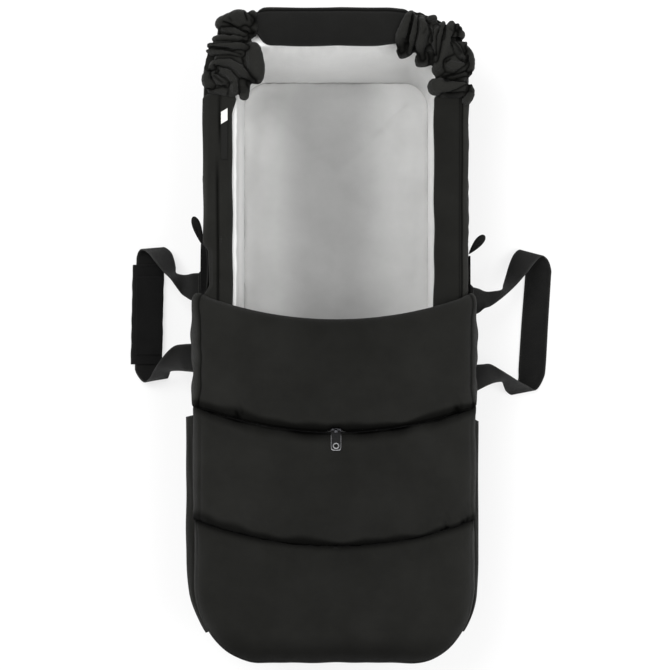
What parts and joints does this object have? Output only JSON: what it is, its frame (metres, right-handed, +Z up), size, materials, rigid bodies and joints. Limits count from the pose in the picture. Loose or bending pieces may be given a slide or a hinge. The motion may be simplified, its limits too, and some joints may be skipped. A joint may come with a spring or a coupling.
{
  "type": "baby nest",
  "caption": "Soft padded carry nest for a baby: rounded fabric tub, flat mattress, gathered head rim, quilted foot apron with zips, and two webbing handles.",
  "frame": {"origin": "on the floor, under the middle of the tub", "axes": "+X to the right, +Y to the head end, +Z up"},
  "size_m": [0.5274, 0.7805, 0.1868],
  "materials": {
    "shell_cloth": "matte black woven polyester, quilted where padded",
    "base_cloth": "coarse black woven cloth",
    "board": "grey board",
    "foam": "white soft foam or wadding",
    "lining_cloth": "soft light grey knitted cloth",
    "mattress_cloth": "soft grey knitted cloth",
    "elastic": "black woven elastic",
    "webbing": "black woven webbing",
    "grip_cloth": "padded black cloth",
    "zip_row": "black coil zip on tape",
    "zip_metal": "dark satin metal",
    "label_cloth": "bare white woven label"
  },
  "bodies": {
    "tub": {"outer_base": "base_cloth", "base_board": "board", "outer_wall": "shell_cloth", "wall_padding": "foam", "lining": "lining_cloth", "mattress_foam": "foam", "mattress_cover": "mattress_cloth", "rim_left": "shell_cloth", "rim_right": "shell_cloth", "rim_foot": "shell_cloth", "head_band": "shell_cloth", "scrunch_left": "shell_cloth", "scrunch_right": "shell_cloth", "scrunch_left_elastic": "elastic", "scrunch_right_elastic": "elastic", "label": "label_cloth", "pull_tab_left": "webbing", "pull_tab_right": "webbing", "strap_end_left_head": "webbing", "strap_end_left_foot": "webbing", "strap_end_right_head": "webbing", "strap_end_right_foot": "webbing", "side_zip_tub_row_left": "zip_row", "side_zip_tub_row_right": "zip_row"},
    "lower_apron": {"apron_mid_cover": "shell_cloth", "apron_foot_cover": "shell_cloth", "apron_mid_fill": "foam", "apron_foot_fill": "foam", "apron_lining": "lining_cloth", "cross_zip_head_row": "zip_row", "cross_zip_foot_row": "zip_row", "side_zip_apron_row_left": "zip_row", "side_zip_apron_row_right": "zip_row", "zip_guard_left": "shell_cloth", "zip_guard_right": "shell_cloth"},
    "flap": {"flap_cover": "shell_cloth", "flap_fill": "foam", "flap_lining": "lining_cloth"},
    "cross_slider": {"cross_slider": "zip_metal"},
    "cross_puller": {"cross_puller": "zip_metal"},
    "side_slider_left": {"side_slider_left": "zip_metal"},
    "side_slider_right": {"side_slider_right": "zip_metal"},
    "left_handle": {"handle_left": "webbing", "grip_wrap": "grip_cloth"},
    "right_handle": {"handle_right": "webbing"},
    "grip_leaf": {"grip_wrap_leaf": "webbing"}
  },
  "joints": [
    {"name": "apron_open", "type": "hinge", "parent": "tub", "child": "lower_apron", "pos_m": [0, -0.3905, 0.12], "axis": [1, 0, 0], "range_deg": [0, 165]},
    {"name": "flap_fold", "type": "hinge", "parent": "lower_apron", "child": "flap", "pos_m": [0, -0.11, 0.1865], "axis": [1, 0, 0], "range_deg": [0, 160]},
    {"name": "cross_slider_travel", "type": "hinge", "parent": "lower_apron", "child": "cross_slider", "pos_m": [0, 0.341, 0.1704], "axis": [0, 0, 1], "range_deg": [-15, 15]},
    {"name": "cross_puller_swing", "type": "hinge", "parent": "cross_slider", "child": "cross_puller", "pos_m": [0, -0.114, 0.1743], "axis": [-1, 0, 0], "range_deg": [0, 125]},
    {"name": "side_slider_left_travel", "type": "slide", "parent": "tub", "child": "side_slider_left", "axis": [0, -1, 0], "range_m": [0, 0.18]},
    {"name": "side_slider_right_travel", "type": "slide", "parent": "tub", "child": "side_slider_right", "axis": [0, -1, 0], "range_m": [0, 0.18]},
    {"name": "left_handle_swing", "type": "hinge", "parent": "tub", "child": "left_handle", "pos_m": [-0.1683, 0, 0.1105], "axis": [0, 1, 0], "range_deg": [0, 135]},
    {"name": "right_handle_swing", "type": "hinge", "parent": "tub", "child": "right_handle", "pos_m": [0.1683, 0, 0.1105], "axis": [0, -1, 0], "range_deg": [0, 135]},
    {"name": "grip_leaf_open", "type": "hinge", "parent": "left_handle", "child": "grip_leaf", "pos_m": [-0.2195, 0, 0.0118], "axis": [0, 1, 0], "range_deg": [0, 90]}
  ]
}
